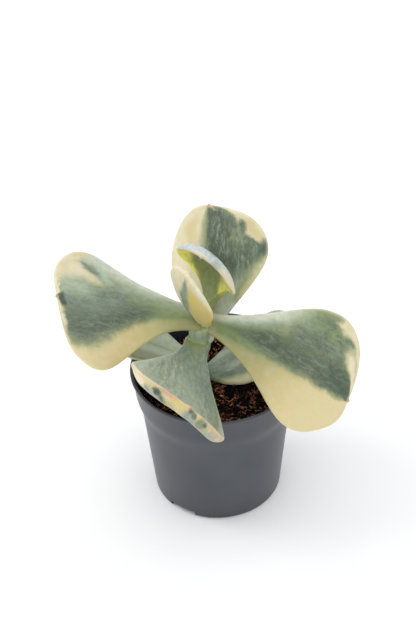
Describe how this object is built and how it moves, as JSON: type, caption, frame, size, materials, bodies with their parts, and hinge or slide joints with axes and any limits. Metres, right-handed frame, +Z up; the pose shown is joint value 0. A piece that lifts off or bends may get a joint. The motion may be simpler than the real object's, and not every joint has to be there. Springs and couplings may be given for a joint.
{
  "type": "potted cotyledon",
  "caption": "Young variegated cotyledon with thick fan-shaped leaves in crossed pairs on a short stem, in a small round nursery pot of soil.",
  "frame": {"origin": "centre of the pot's underside, on the surface it stands on", "axes": "+Z up along the pot's axis; -Y faces the viewer of the picture; +X to that viewer's right"},
  "size_m": [0.0916, 0.0813, 0.0942],
  "materials": {
    "pot_plastic": "satin",
    "soil": "matte",
    "stem": "satin",
    "leaf_left": "satin",
    "leaf_right": "satin",
    "leaf_back": "satin",
    "leaf_front": "satin",
    "leaf_young_back": "satin",
    "leaf_young_front": "satin",
    "leaf_low_left": "satin",
    "leaf_low_right": "satin"
  },
  "bodies": {
    "root": {"pot": "pot_plastic", "soil": "soil", "stem": "stem", "leaf_left": "leaf_left", "leaf_right": "leaf_right", "leaf_back": "leaf_back", "leaf_front": "leaf_front", "leaf_young_back": "leaf_young_back", "leaf_young_front": "leaf_young_front", "leaf_low_left": "leaf_low_left", "leaf_low_right": "leaf_low_right"}
  },
  "joints": []
}
